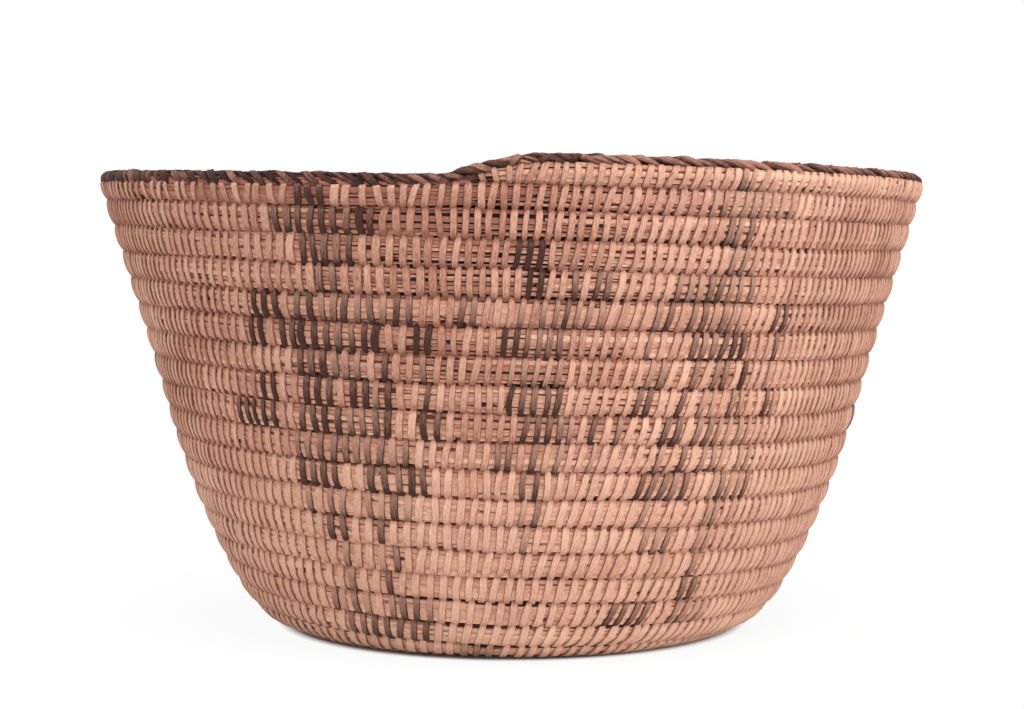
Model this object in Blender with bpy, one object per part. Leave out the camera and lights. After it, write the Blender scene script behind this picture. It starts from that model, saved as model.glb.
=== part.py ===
"""A coiled basket bowl, about 320 mm across the rim and 177 mm high.

One long bundle of split grass is coiled from a knot at the middle of the flat base. It runs out to the
edge of the base, turns up into a flared wall and climbs to the rim, where it thins to a point under a
plaited edge. Every turn rests on the turn below it. The sizes below give the profile of the wall and the
bundle, and the whole spiral is worked out from them.

Metres, +Z up. The origin is the middle of the underside, on the surface that the bowl stands on. Angle
zero faces -Y and angles grow towards +X, so the coil climbs as its angle falls.
"""

import math

import bmesh
import bpy
import numpy as np

# Whole bowl, measured on the outside of the coil
RIM_RADIUS = 0.1606
COIL_HEIGHT = 0.1748
BASE_FLAT_RADIUS = 0.0845

# Stations of the wall's profile: the top of the turn-up, and one above it
TURN_UP_RADIUS = 0.1116
TURN_UP_HEIGHT = 0.0245
TURN_UP_LEAN = math.radians(27.0)
WAIST_RADIUS = 0.1357
WAIST_HEIGHT = 0.0900
WAIST_LEAN = math.radians(15.0)
RIM_LEAN = math.radians(16.0)

# The bundle and its spiral: its turns in the wall share out the profile's length past the flat base
BUNDLE_THICKNESS = 0.0090
WALL_TURNS = 19
FIRST_TURN_REACH = 0.0013
COURSE_GAP = 0.0003
BASE_LOOP_GAP = 0.0005
LAST_PITCH_SHARE = 0.72
THINNING_TURNS = 2.9
COIL_SLANT = 0.0032
COIL_END_ANGLE = math.radians(-4.0)

# Its cross-section: half-widths at which the flat seats and faces stop and the worn corners start
SEAT_SHARE = 0.36
FACE_SHARE = 0.26

# The thinned end of the bundle, as long as this many half plaits of the edge above it
TIP_HALF_PLAITS = 3
TIP_THICKNESS_SHARE = 0.45
TIP_CLIMB = 2.3

# The knot that the coil starts from
KNOT_RADIUS = 0.0080
KNOT_ROUNDING = 0.0018
KNOT_DIMPLE_RADIUS = 0.0030
KNOT_DIMPLE_DEPTH = 0.0012
COIL_START_WIDTH = 0.0020

# The plaited edge, which lies level on the leaning wall
BRAID_HEIGHT = 0.0025
BRAID_THICKNESS = 0.0094
BRAID_CROWN_SHARE = 0.28
BRAID_SHOULDER_SHARE = 0.62
BRAID_INNER_HEIGHT = 0.0004
BRAID_RELIEF = 0.0005
BRAID_PLAITS = 50

# Facets
COURSE_SEGMENTS = 36
BASE_SEGMENTS = 24
KNOT_SEGMENTS = 20
PROFILE_STEPS = 80

SHARP_ANGLE = math.radians(50.0)

FULL_TURN = 2.0 * math.pi
HANDLE_SHARE = 1.0 / 3.0


def plant_material(name, colour, roughness):
    """A matt plant fibre."""
    material = bpy.data.materials.new(name)
    material.use_nodes = True
    surface = material.node_tree.nodes["Principled BSDF"]
    surface.inputs["Base Color"].default_value = (*colour, 1.0)
    surface.inputs["Roughness"].default_value = roughness
    surface.inputs["Metallic"].default_value = 0.0
    return material


def station(outer_radius, height, lean):
    """A point of the middle line, half a bundle in from the outside, and the line's direction there."""
    direction = np.array([math.sin(lean), math.cos(lean)])
    outward = np.array([math.cos(lean), -math.sin(lean)])
    return np.array([outer_radius, height]) - outward * BUNDLE_THICKNESS / 2.0, direction


def bend(start, end):
    """A smooth cubic from one station to the next, without its first point."""
    start_point, start_direction = start
    end_point, end_direction = end
    handle = HANDLE_SHARE * np.linalg.norm(end_point - start_point)
    first_handle = start_point + handle * start_direction
    second_handle = end_point - handle * end_direction
    share = np.linspace(0.0, 1.0, PROFILE_STEPS + 1)[1:, None]
    rest = 1.0 - share
    ends = rest ** 3 * start_point + share ** 3 * end_point
    return ends + 3.0 * rest * share * (rest * first_handle + share * second_handle)


class Profile:
    """The wall's profile, read by the length along it from the middle of the base."""

    def __init__(self):
        middle_height = BUNDLE_THICKNESS / 2.0
        flat_end = np.array([BASE_FLAT_RADIUS, middle_height]), np.array([1.0, 0.0])
        turn_up = station(TURN_UP_RADIUS, TURN_UP_HEIGHT, TURN_UP_LEAN)
        waist = station(WAIST_RADIUS, WAIST_HEIGHT, WAIST_LEAN)
        rim = station(RIM_RADIUS, COIL_HEIGHT, RIM_LEAN)
        flat = np.linspace([0.0, middle_height], flat_end[0], PROFILE_STEPS)
        line = np.vstack([flat, bend(flat_end, turn_up), bend(turn_up, waist), bend(waist, rim)])
        past_rim = BRAID_HEIGHT + COIL_SLANT + BUNDLE_THICKNESS
        line = np.vstack([line, rim[0] + past_rim * rim[1]])
        steps = np.linalg.norm(np.diff(line, axis=0), axis=1)
        self.lengths = np.concatenate([[0.0], np.cumsum(steps)])
        self.total = self.lengths[-2]
        self.line = line
        tangent = np.gradient(line, self.lengths, axis=0)
        self.tangent = tangent / np.linalg.norm(tangent, axis=1)[:, None]

    def point(self, angle, along, out):
        """The place at an angle, a length along the slanted profile and a distance out from its middle."""
        slant = COIL_SLANT * min(along / BASE_FLAT_RADIUS, 1.0)
        along = along - slant * math.sin(angle)
        radius, height = (np.interp(along, self.lengths, column) for column in self.line.T)
        run, rise = (np.interp(along, self.lengths, column) for column in self.tangent.T)
        radius = radius + out * rise
        height = height - out * run
        return radius * math.sin(angle), -radius * math.cos(angle), height


PROFILE = Profile()


def turns_of_full_pitch(turns_left):
    """How many turns of full height the last turns amount to. They get lower towards the bundle's end."""
    share = min(turns_left / THINNING_TURNS, 1.0)
    eased = THINNING_TURNS * (share ** 3 - share ** 4 / 2.0)
    eased = eased + max(turns_left - THINNING_TURNS, 0.0)
    return LAST_PITCH_SHARE * turns_left + (1.0 - LAST_PITCH_SHARE) * eased


WALL_LENGTH = PROFILE.total - BASE_FLAT_RADIUS - FIRST_TURN_REACH
COURSE_PITCH = WALL_LENGTH / turns_of_full_pitch(WALL_TURNS)


def top_of_coil(turns_left):
    """How far along the profile the bundle's upper edge is, a number of turns before its end."""
    return PROFILE.total - COURSE_PITCH * turns_of_full_pitch(turns_left)


def coil_angle(turns_left):
    """Where round the bowl the bundle is, a number of turns before its end."""
    return COIL_END_ANGLE + FULL_TURN * turns_left


def butt_trim(turns_left):
    """The share of a turn cut off a length of the bundle where the next length butts against it."""
    radius = np.interp(top_of_coil(turns_left), PROFILE.lengths, PROFILE.line[:, 0])
    return COURSE_GAP / 2.0 / (FULL_TURN * radius)


def bundle_section(turns_left, lower, upper, thickness):
    """The bundle's eight corners between a lower and an upper edge along the profile."""
    middle = (lower + upper) / 2.0
    half_height = (upper - lower) / 2.0
    half_thickness = thickness / 2.0
    seat = 2.0 * SEAT_SHARE * half_thickness
    face = 2.0 * FACE_SHARE * half_height
    corners = [(half_thickness, -face), (half_thickness, face), (seat, half_height), (-seat, half_height),
               (-half_thickness, face), (-half_thickness, -face), (-seat, -half_height), (seat, -half_height)]
    angle = coil_angle(turns_left)
    return [PROFILE.point(angle, middle + along, out) for out, along in corners]


def sweep(name, sections, material, closed=False):
    """One closed body through a row of cross-sections, which ends in flat caps or meets itself."""
    shape = bmesh.new()
    rings = [[shape.verts.new(corner) for corner in section] for section in sections]
    following = rings[1:] + rings[:1] if closed else rings[1:]
    for ring, next_ring in zip(rings, following):
        for corner in range(len(ring)):
            other = (corner + 1) % len(ring)
            shape.faces.new((ring[corner], ring[other], next_ring[other], next_ring[corner]))
    if not closed:
        shape.faces.new(rings[0])
        shape.faces.new(rings[-1])
    bmesh.ops.recalc_face_normals(shape, faces=shape.faces)
    return finished(name, shape, material)


def finished(name, shape, material):
    """Turns a bmesh into a smoothly shaded object."""
    mesh = bpy.data.meshes.new(name)
    shape.to_mesh(mesh)
    shape.free()
    mesh.materials.append(material)
    mesh.shade_smooth()
    mesh.set_sharp_from_angle(angle=SHARP_ANGLE)
    piece = bpy.data.objects.new(name, mesh)
    bpy.context.scene.collection.objects.link(piece)
    return piece


def make_knot(material):
    """The tight knot at the middle: a flat-bottomed button with a dimple, turned as a lathe turns it."""
    profile = [(KNOT_DIMPLE_RADIUS, BUNDLE_THICKNESS - KNOT_DIMPLE_DEPTH / 2.0),
               (KNOT_RADIUS - KNOT_ROUNDING, BUNDLE_THICKNESS),
               (KNOT_RADIUS, BUNDLE_THICKNESS - KNOT_ROUNDING),
               (KNOT_RADIUS, KNOT_ROUNDING),
               (KNOT_RADIUS - KNOT_ROUNDING, 0.0)]
    shape = bmesh.new()
    rings = []
    for radius, height in profile:
        out = BUNDLE_THICKNESS / 2.0 - height
        angles = [FULL_TURN * step / KNOT_SEGMENTS for step in range(KNOT_SEGMENTS)]
        rings.append([shape.verts.new(PROFILE.point(angle, radius, out)) for angle in angles])
    for ring, next_ring in zip(rings, rings[1:]):
        bmesh.ops.bridge_loops(shape, edges=ring_edges(shape, ring) + ring_edges(shape, next_ring))
    shape.faces.new(rings[-1])
    dimple = shape.verts.new((0.0, 0.0, BUNDLE_THICKNESS - KNOT_DIMPLE_DEPTH))
    for corner in range(KNOT_SEGMENTS):
        shape.faces.new((rings[0][corner], rings[0][(corner + 1) % KNOT_SEGMENTS], dimple))
    bmesh.ops.recalc_face_normals(shape, faces=shape.faces)
    return finished("start_knot", shape, material)


def ring_edges(shape, ring):
    """The edges round a ring of vertices, made where they are missing."""
    pairs = zip(ring, ring[1:] + ring[:1])
    return [shape.edges.get(pair) or shape.edges.new(pair) for pair in pairs]


def make_base_coil(material):
    """The flat base: the bundle's first loops, one unbroken length from the knot to the first course."""
    knot_edge = KNOT_RADIUS + COURSE_GAP
    sections = []
    step = 0
    while True:
        turns_left = WALL_TURNS + step / BASE_SEGMENTS
        upper = top_of_coil(turns_left) - BASE_LOOP_GAP / 2.0
        lower = max(top_of_coil(turns_left + 1.0) + BASE_LOOP_GAP / 2.0, knot_edge)
        if upper - lower < COIL_START_WIDTH:
            break
        if step == 0:
            turns_left += butt_trim(turns_left)
        sections.append(bundle_section(turns_left, lower, upper, BUNDLE_THICKNESS))
        step += 1
    print(f"base coil: {step / BASE_SEGMENTS:.1f} loops, least gap to itself "
          f"{1000.0 * least_loop_gap(sections):.2f} mm")
    return sweep("base_coil", sections, material)


def least_loop_gap(sections):
    """The least distance between corners of the base coil that lie one loop apart."""
    inner, outer = (6, 7), (2, 3)
    gaps = []
    for index in range(len(sections) - BASE_SEGMENTS):
        for own, other in zip(inner, reversed(outer)):
            own_corner = np.array(sections[index][own])
            other_corner = np.array(sections[index + BASE_SEGMENTS][other])
            gaps.append(np.linalg.norm(own_corner - other_corner))
    return min(gaps)


def course_section(turns_left):
    """A full cross-section of the bundle, seated on the turn below and clear of the turn above."""
    lower = top_of_coil(turns_left + 1.0) + COURSE_GAP / 2.0
    upper = top_of_coil(turns_left) - COURSE_GAP / 2.0
    return bundle_section(turns_left, lower, upper, BUNDLE_THICKNESS)


def make_course(number, turns_left, thin_end, material):
    """One turn of the wall. Its ends are cut square where the next length of the bundle joins it."""
    end_trim = butt_trim(turns_left + 1.0)
    places = [turns_left + step / COURSE_SEGMENTS for step in range(COURSE_SEGMENTS + 1)]
    first = turns_left + thin_end
    places = [first] + [place for place in places if place > first + end_trim]
    places[0] += end_trim
    places[-1] -= end_trim
    return sweep(f"course_{number:02d}", [course_section(place) for place in places], material)


def half_plaits(count):
    """The share of a turn that a number of half plaits takes up."""
    return count / (2.0 * BRAID_PLAITS)


def make_coil_end(material):
    """The last stretch of the bundle, which thins down between the plaited edge and the course below."""
    sections = []
    for step in range(TIP_HALF_PLAITS + 1):
        share = step / TIP_HALF_PLAITS
        turns_left = max(share * half_plaits(TIP_HALF_PLAITS) - butt_trim(0.0), 2.0 * butt_trim(0.0))
        lower = top_of_coil(turns_left + 1.0) + COURSE_GAP / 2.0
        upper = braid_seat(step) - COURSE_GAP
        thickness_share = TIP_THICKNESS_SHARE + (1.0 - TIP_THICKNESS_SHARE) * share
        sections.append(bundle_section(turns_left, lower, upper, BUNDLE_THICKNESS * thickness_share))
    return sweep("coil_end", sections, material)


def braid_seat(step):
    """Where the plait sits, a number of half plaits past the coil's end. It climbs onto the thinned end."""
    turns = half_plaits(step)
    left = 1.0 - min((step + 1) / (TIP_HALF_PLAITS + 1), 1.0)
    climbed = 1.0 - left ** TIP_CLIMB
    low = top_of_coil(1.0 + turns)
    high = top_of_coil(turns)
    return low + (high - low) * climbed + COURSE_GAP / 2.0


def braid_section(turns, foot, seat, relief):
    """The plait's six corners, from its foot on the coil to its crown, which stays level."""
    side = BRAID_THICKNESS / 2.0 - relief
    crown_side = BRAID_CROWN_SHARE * BRAID_THICKNESS
    crown = seat + BRAID_HEIGHT - relief
    shoulder = seat + BRAID_SHOULDER_SHARE * BRAID_HEIGHT
    levelled = 2.0 * crown_side * math.tan(RIM_LEAN)
    corners = [(side, foot), (side, shoulder), (crown_side, crown),
               (-crown_side, crown - levelled), (-side, seat + BRAID_INNER_HEIGHT), (-side, foot)]
    return [PROFILE.point(coil_angle(turns), along, out) for out, along in corners]


def make_rim_braid(material):
    """The plaited edge, one closed ring, with every second section drawn in where the strands cross.

    Just before the coil's end it reaches down to the course below, and so closes off that end.
    """
    sections = []
    for step in range(2 * BRAID_PLAITS):
        turns = half_plaits(step)
        relief = BRAID_RELIEF if step % 2 else 0.0
        seat = braid_seat(step)
        sections.append(braid_section(turns, seat, seat, relief))
    before_end = 1.0 - butt_trim(0.0)
    foot = top_of_coil(before_end) + COURSE_GAP / 2.0
    sections.append(braid_section(before_end, foot, braid_seat(0), 0.0))
    return sweep("rim_braid", sections, material, closed=True)


def build():
    """The whole bowl."""
    for old in list(bpy.data.objects):
        bpy.data.objects.remove(old)
    grass = plant_material("grass_coil", (0.56, 0.31, 0.20), 0.75)
    splint = plant_material("light_splint", (0.66, 0.45, 0.31), 0.6)
    dark = plant_material("dark_splint", (0.11, 0.055, 0.038), 0.6)
    make_knot(splint)
    make_base_coil(grass)
    for number in range(1, WALL_TURNS + 1):
        turns_left = WALL_TURNS - number
        thin_end = half_plaits(TIP_HALF_PLAITS) if turns_left == 0 else 0.0
        make_course(number, turns_left, thin_end, grass)
    make_coil_end(grass)
    make_rim_braid(dark)


build()
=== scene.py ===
"""The looks of the coiled basket bowl.

The bowl is dressed the way it is sewn: the bundle of split grass is laid along the spiral splint by splint,
and light and dark sewing splints are wrapped round it one by one, from the knot to the rim. The edge is
plaited from dark splints. Each of these is modelled once, flat, and its copies are laid along the coil.

Metres, +Z up. Angle zero faces -Y and angles grow towards +X. A place on the coil is given by the turns
that are left to its end at the rim, so turns grow down the bowl and are also its rows. Facing is an angle
in degrees from the middle of the front. Rise goes from -1 at the foot of a row to 1 at its top.
"""

import math

import bpy
import numpy as np
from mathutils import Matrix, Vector


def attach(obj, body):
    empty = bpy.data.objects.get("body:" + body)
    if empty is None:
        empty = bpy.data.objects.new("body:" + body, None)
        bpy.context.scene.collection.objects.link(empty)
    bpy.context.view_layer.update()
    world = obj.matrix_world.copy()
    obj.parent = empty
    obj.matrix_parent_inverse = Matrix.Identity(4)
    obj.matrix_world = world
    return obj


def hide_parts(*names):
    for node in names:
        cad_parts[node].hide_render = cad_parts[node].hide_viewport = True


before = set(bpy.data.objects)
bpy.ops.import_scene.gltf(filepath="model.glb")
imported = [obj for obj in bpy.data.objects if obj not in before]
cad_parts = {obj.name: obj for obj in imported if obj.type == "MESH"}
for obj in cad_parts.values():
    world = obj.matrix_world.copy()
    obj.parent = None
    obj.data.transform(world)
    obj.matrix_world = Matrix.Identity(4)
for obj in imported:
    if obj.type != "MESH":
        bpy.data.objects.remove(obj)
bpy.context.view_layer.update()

# The bowl's profile and its spiral, as in the part's source
RIM_RADIUS = 0.1606
COIL_HEIGHT = 0.1748
BASE_FLAT_RADIUS = 0.0845
TURN_UP_RADIUS = 0.1116
TURN_UP_HEIGHT = 0.0245
TURN_UP_LEAN = math.radians(27.0)
WAIST_RADIUS = 0.1357
WAIST_HEIGHT = 0.0900
WAIST_LEAN = math.radians(15.0)
RIM_LEAN = math.radians(16.0)
BUNDLE_THICKNESS = 0.0090
WALL_TURNS = 19
FIRST_TURN_REACH = 0.0013
LAST_PITCH_SHARE = 0.72
THINNING_TURNS = 2.9
COIL_SLANT = 0.0032
COIL_END_ANGLE = math.radians(-4.0)
TIP_TURNS = 0.03
TIP_PARTS = 3.0
TIP_THICKNESS_SHARE = 0.80
TIP_CLIMB = 2.3
CLIMB_TURNS = 0.02
BRAID_HEIGHT = 0.0025
KNOT_RADIUS = 0.0080
COIL_START_WIDTH = 0.0020
COIL_START_LAP_TURNS = 0.02
PROFILE_STEPS = 80

# How far the bundle's upper edge wanders, and what is left of the coil in the middle of the knot
WANDER = 0.00020
LEAST_COURSE = 0.0004
LEAST_RADIUS = 0.004

# Sewing splints, and how their pitch and width differ by area
FIRST_STITCH_TURNS = 0.0016
STITCH_PITCH = 0.0041
LEAST_PITCH_SHARE = 0.6
BASE_PITCH_SHARE = 0.96
CLOSER_IN_FRONT = 0.00050
CLOSER_ON_RIGHT = 0.00062
WIDER_ON_LEFT = 0.00040
WIDER_LOW_DOWN = 0.00025
WIDER_AT_RIM = 0.0007
STITCH_WIDTH = 0.0030
NARROWER_IN_FRONT = 0.0007
NARROWER_ON_FLANKS = 0.0009
STITCH_THICKNESS = 0.00060
STITCH_CURVE = 0.00022
OUTER_FACE_SHARE = 0.80
DARK_WIDTH_SHARE = 0.86
STITCH_LEAN = 0.10
MOST_OWN_LEAN = 0.24
UNDER_EDGE_RISE = 1.07

# The wrap's course round the bundle: shares of its half-thickness outwards and of its half-height up
WRAP = ((0.34, -1.16), (0.63, -0.99), (0.84, -0.73), (0.96, -0.36), (1.0, 0.03), (0.97, 0.42),
        (0.87, 0.77), (0.69, 1.03), (0.38, 1.18), (-0.38, 1.18), (-0.68, 1.02), (-0.90, 0.62),
        (-1.0, 0.04), (-0.92, -0.50), (-0.66, -0.94), (-0.34, -1.16))
WRAP_FACE_CORNERS = 9

# The inside of the bundle in the same shares, dark with painted shade, and its lengths in the tip, a course
# and the base
CORE = ((0.72, -0.45), (0.73, 0.55), (0.44, 1.0), (-0.44, 1.0), (-0.73, 0.55), (-0.72, -0.45),
        (-0.34, -1.0), (0.34, -1.0))
TIP_CORE_STEPS = 6
COURSE_CORE_STEPS = 90
BASE_CORE_STEPS = 320

# Split grass of the bundle: the rises of its rows on one face, the dark one in the crease, which is a line of
# painted shadow, and the splints, with the gap to the next one along the row, which is longer here and there
# where a stem ends
GRASS_ROWS = (-0.71, -0.48, -0.25, -0.02, 0.21, 0.44, 0.66, 0.84)
CREASE_ROW = 1.02
CREASE_DROP = 0.09
FIRST_GRASS_TURNS = 0.001
GRASS_WIDTH = (0.00124, 0.00178)
GRASS_THICKNESS = 0.0007
GRASS_LIFT = 0.00012
GRASS_LIFT_RANGE = (-0.0003, 0.00016)
GRASS_LENGTH = (0.060, 0.150)
LONGEST_GRASS_TURNS = 0.32
GRASS_GAP = (-0.0006, 0.0035)
STEM_END_GAP = (0.003, 0.009)
STEM_END_CHANCE = 0.05
CREASE_GAP = (0.003, 0.024)
GRASS_CUTS = 12
GRASS_OUTER_SHARE = 0.86
GRASS_END_SHARE = 0.45
GRASS_END_THICKNESS_SHARE = 0.4

# The plaited edge: its half-width and crown, which the strands lie on, and where it sits on the rim
EDGE_HALF_WIDTH = 0.0028
EDGE_CROWN = 0.0019
EDGE_OUT = 0.0002
EDGE_SEAT = 0.0008
EDGE_FULLER_BY = 0.0006
EDGE_LOWER_BY = 0.0010
EDGE_SLIMMER_BY = 0.0002
EDGE_CORE_SHARE = 0.93
EDGE_CORE_DROP = 0.0004
EDGE_CORE_STEPS = 360
EDGE_CORE_DEGREES = (-128.0, -75.0, -30.0, 30.0, 75.0, 128.0)
BRAID_STRANDS = 186
STRAND_RUN = 0.0125
STRAND_WIDTH = 0.0028
STRAND_THICKNESS = 0.0020
STRAND_BULGE = 0.00025
STRAND_LIFT = 0.00026
STRAND_CURL_RADIUS = 0.0029
STRAND_FIRST_DEGREES = -25.0
STRAND_LAST_DEGREES = 106.0
STRAND_CUTS = 8
STRAND_END_SHARE = 0.62

# Strands that cross the edge the other way, and strands that close the seam below the coil's end
CROSSINGS = (0.5, 4.0, 7.5)
CROSSING_RUN = -0.0055
CROSSING_LIFT = 0.0006
CROSSING_FIRST_DEGREES = 12.0
SEAM_STRANDS = (-4.6, -3.1, -1.7)
SEAM_LIFT = -0.0002
SEAM_DROP = 0.0016
SEAM_FIRST_DEGREES = 20.0

# Splints round the start knot, and the ring that they are wrapped round: distances out and along
KNOT_WRAPS = 13
KNOT_WRAP_MIDDLE = 0.0045
KNOT_WRAP_REACH = 0.0038
KNOT_RING = ((0.0039, 0.0003), (0.0039, 0.0064), (0.0026, 0.0078), (-0.0026, 0.0078), (-0.0039, 0.0064),
             (-0.0036, 0.0003))
KNOT_RING_STEPS = 24

# Plant fibre: how fine its streaks, specks and blotches are, its relief and its gloss
STREAK_FINENESS = 2600.0
GRASS_STREAK_FINENESS = 3400.0
SPECK_FINENESS = 1500.0
BLOTCH_FINENESS = 38.0
FIBRE_RELIEF = 0.00022
FIBRE_GLOSS = 0.12

# The studio: lamps by name, place, size and watts
AMBIENT = 0.46
LAMPS = (("front_right", (1.2, -0.95, 0.25), 0.9, 8.9),
         ("front_left", (-1.3, -0.9, 0.4), 1.2, 4.6),
         ("above", (0.2, -0.65, 1.2), 0.7, 13.6))
LAMP_TARGET = (0.0, 0.0, 0.08)
FLOOR_SIZE = 14.0
FLOOR_DROP = 0.0002
CONTACT_RADIUS = (0.0875, 0.0925)
SHADOW_RADIUS = 0.20
SHADOW_SHARE = 0.07

# The camera, whose lens is as long as so many of the photo's pixels
CAMERA_PLACE = (0.0, -0.863, 0.1534)
CAMERA_DIP_DEGREES = 3.29
LENS_PIXELS = 2190.0
PHOTO_WIDTH_PIXELS = 1024.0
SENSOR_MILLIMETRES = 36.0

FULL_TURN = 2.0 * math.pi
HALF_BUNDLE = BUNDLE_THICKNESS / 2.0
chance = np.random.default_rng(1053)

# Where the pattern's dark stitches are: for each row, counted down from the thinned end of the coil, the
# first and last angle of each run in degrees, and how strongly it is dyed
STRONG, MEDIUM, FADED = 1.0, 0.62, 0.30
DARK_RUNS = {
    0: ((28.2, 29.0, MEDIUM), (30.0, 31.2, FADED), (32.3, 33.0, FADED)),
    1: ((-27.0, -22.9, STRONG), (24.8, 37.2, FADED)),
    2: ((-31.1, -20.5, MEDIUM), (-20.3, -17.6, STRONG), (27.4, 30.9, MEDIUM)),
    3: ((-27.5, -21.0, MEDIUM), (0.9, 4.6, STRONG), (29.0, 33.4, FADED)),
    4: ((-26.4, -22.7, MEDIUM), (1.2, 4.2, STRONG), (8.0, 8.8, MEDIUM), (11.2, 12.0, MEDIUM),
        (21.4, 33.0, MEDIUM)),
    5: ((-37.0, -32.8, STRONG), (-30.2, -29.4, FADED), (-28.3, -27.5, MEDIUM), (-26.3, -23.6, FADED),
        (-22.4, -21.6, MEDIUM), (-20.4, -19.6, FADED), (-18.8, -18.0, MEDIUM), (-16.8, -16.0, FADED),
        (-15.1, -12.7, MEDIUM), (-7.4, -5.3, MEDIUM), (1.6, 2.4, FADED), (3.6, 12.0, FADED),
        (19.6, 21.8, MEDIUM), (24.2, 33.0, MEDIUM), (38.8, 40.7, STRONG)),
    6: ((-38.5, -36.1, STRONG), (-33.6, -25.2, STRONG), (-24.1, -21.3, MEDIUM), (-20.4, -17.9, STRONG),
        (-13.2, -10.9, STRONG), (-0.9, 1.3, STRONG), (1.8, 6.2, MEDIUM), (19.3, 20.0, MEDIUM),
        (21.1, 21.7, FADED), (25.9, 30.0, MEDIUM), (30.6, 34.7, STRONG), (39.0, 41.0, STRONG)),
    7: ((-32.1, -27.2, STRONG), (-26.1, -23.1, FADED), (-22.1, -21.3, FADED), (-18.3, -17.5, MEDIUM),
        (-13.3, -10.9, MEDIUM), (-0.8, 6.5, FADED), (19.0, 19.7, MEDIUM), (20.9, 21.6, MEDIUM),
        (25.6, 26.3, MEDIUM), (29.0, 32.8, MEDIUM), (34.3, 35.0, STRONG), (38.8, 41.0, MEDIUM)),
    8: ((-38.5, -36.1, STRONG), (-31.8, -26.9, STRONG), (-26.3, -25.5, MEDIUM), (-23.8, -21.3, STRONG),
        (-19.9, -19.1, MEDIUM), (-18.3, -17.5, STRONG), (-12.8, -10.7, MEDIUM), (-0.7, 6.4, STRONG),
        (18.1, 21.0, STRONG), (24.8, 25.6, STRONG), (27.3, 31.5, FADED), (32.5, 35.1, MEDIUM),
        (39.8, 40.6, STRONG), (41.7, 42.4, MEDIUM)),
    9: ((-45.7, -37.3, STRONG), (-32.3, -25.9, STRONG), (-24.1, -19.2, MEDIUM), (-17.9, -17.1, STRONG),
        (-12.5, -10.5, STRONG), (1.0, 6.5, MEDIUM), (8.2, 8.9, FADED), (11.1, 11.9, MEDIUM),
        (15.7, 16.4, MEDIUM), (17.9, 18.7, STRONG), (23.1, 26.0, STRONG), (27.2, 35.1, MEDIUM),
        (36.1, 38.8, FADED)),
    10: ((-33.9, -19.7, MEDIUM), (-17.9, -17.1, FADED), (-15.7, -14.9, MEDIUM), (-1.9, 0.1, FADED),
         (2.8, 3.6, MEDIUM), (5.9, 6.7, FADED), (11.3, 12.8, FADED), (21.3, 24.0, MEDIUM),
         (25.1, 27.8, STRONG), (29.0, 35.2, MEDIUM), (36.3, 40.2, FADED)),
    11: ((-35.5, -27.9, STRONG), (-22.7, -20.0, STRONG), (-18.6, -17.8, MEDIUM), (-16.0, -12.7, STRONG),
         (1.2, 4.9, STRONG), (18.9, 27.7, STRONG), (32.4, 33.2, FADED), (33.9, 34.7, STRONG),
         (35.9, 38.6, MEDIUM), (39.8, 40.8, STRONG)),
    12: ((-34.2, -33.4, FADED), (-30.5, -29.7, MEDIUM), (-28.4, -27.6, FADED), (-22.7, -20.0, FADED),
         (-18.7, -17.9, MEDIUM), (-16.4, -15.6, FADED), (1.4, 2.2, FADED), (2.7, 3.5, MEDIUM),
         (20.4, 21.2, MEDIUM), (32.3, 34.8, MEDIUM), (37.7, 38.5, FADED)),
    13: ((-32.1, -27.2, STRONG), (-22.7, -20.0, STRONG), (-18.7, -17.9, MEDIUM), (2.2, 3.1, MEDIUM),
         (21.9, 26.7, MEDIUM), (32.0, 36.5, MEDIUM)),
    14: ((-30.2, -27.5, FADED), (-23.2, -22.4, FADED), (-21.0, -20.2, MEDIUM), (24.2, 26.6, FADED),
         (32.3, 35.2, MEDIUM)),
    15: ((-29.9, -29.1, MEDIUM), (-28.5, -27.7, FADED), (-23.1, -20.3, STRONG), (22.7, 23.6, STRONG),
         (25.0, 25.8, MEDIUM), (31.7, 34.7, STRONG)),
    16: ((-35.1, -34.3, MEDIUM), (-33.0, -32.2, FADED), (-30.8, -30.0, MEDIUM), (-28.0, -27.2, FADED),
         (-22.7, -15.8, MEDIUM), (17.4, 25.7, STRONG), (32.0, 35.0, MEDIUM), (36.5, 40.1, FADED)),
    17: ((-34.7, -16.8, STRONG),),
    18: ((-13.0, -2.4, MEDIUM),),
}
PATTERN_REPEATS = (0.0, 1.0 / 3.0, -1.0 / 3.0)
RUN_MARGIN_DEGREES = 0.4


def smooth_step(share):
    """Eases from 0 to 1 while the share goes from 0 to 1."""
    share = np.clip(share, 0.0, 1.0)
    return share * share * (3.0 - 2.0 * share)


def ramp(value, start, end):
    """Eases from 0 where the value is at the start to 1 at the end, which may be the lower of the two."""
    return smooth_step((value - start) / (end - start))


def bell(value, middle, spread):
    """1 where the value is in the middle, and less and less on both sides."""
    return np.exp(-((value - middle) / spread) ** 2)


def varied(count, spread, limit=np.inf):
    """A number near 1 for each copy, by chance. The limit is the most that it differs, in spreads."""
    return 1.0 + spread * np.clip(chance.standard_normal(count), -limit, limit)


def station(outer_radius, height, lean):
    """A point of the middle line, half a bundle in from the outside, and the line's direction there."""
    direction = np.array([math.sin(lean), math.cos(lean)])
    outward = np.array([math.cos(lean), -math.sin(lean)])
    return np.array([outer_radius, height]) - outward * HALF_BUNDLE, direction


def bend(start, end):
    """A smooth cubic from one station to the next, without its first point."""
    handle = np.linalg.norm(end[0] - start[0]) / 3.0
    first_handle = start[0] + handle * start[1]
    second_handle = end[0] - handle * end[1]
    share = np.linspace(0.0, 1.0, PROFILE_STEPS + 1)[1:, None]
    rest = 1.0 - share
    ends = rest ** 3 * start[0] + share ** 3 * end[0]
    return ends + 3.0 * rest * share * (rest * first_handle + share * second_handle)


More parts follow.
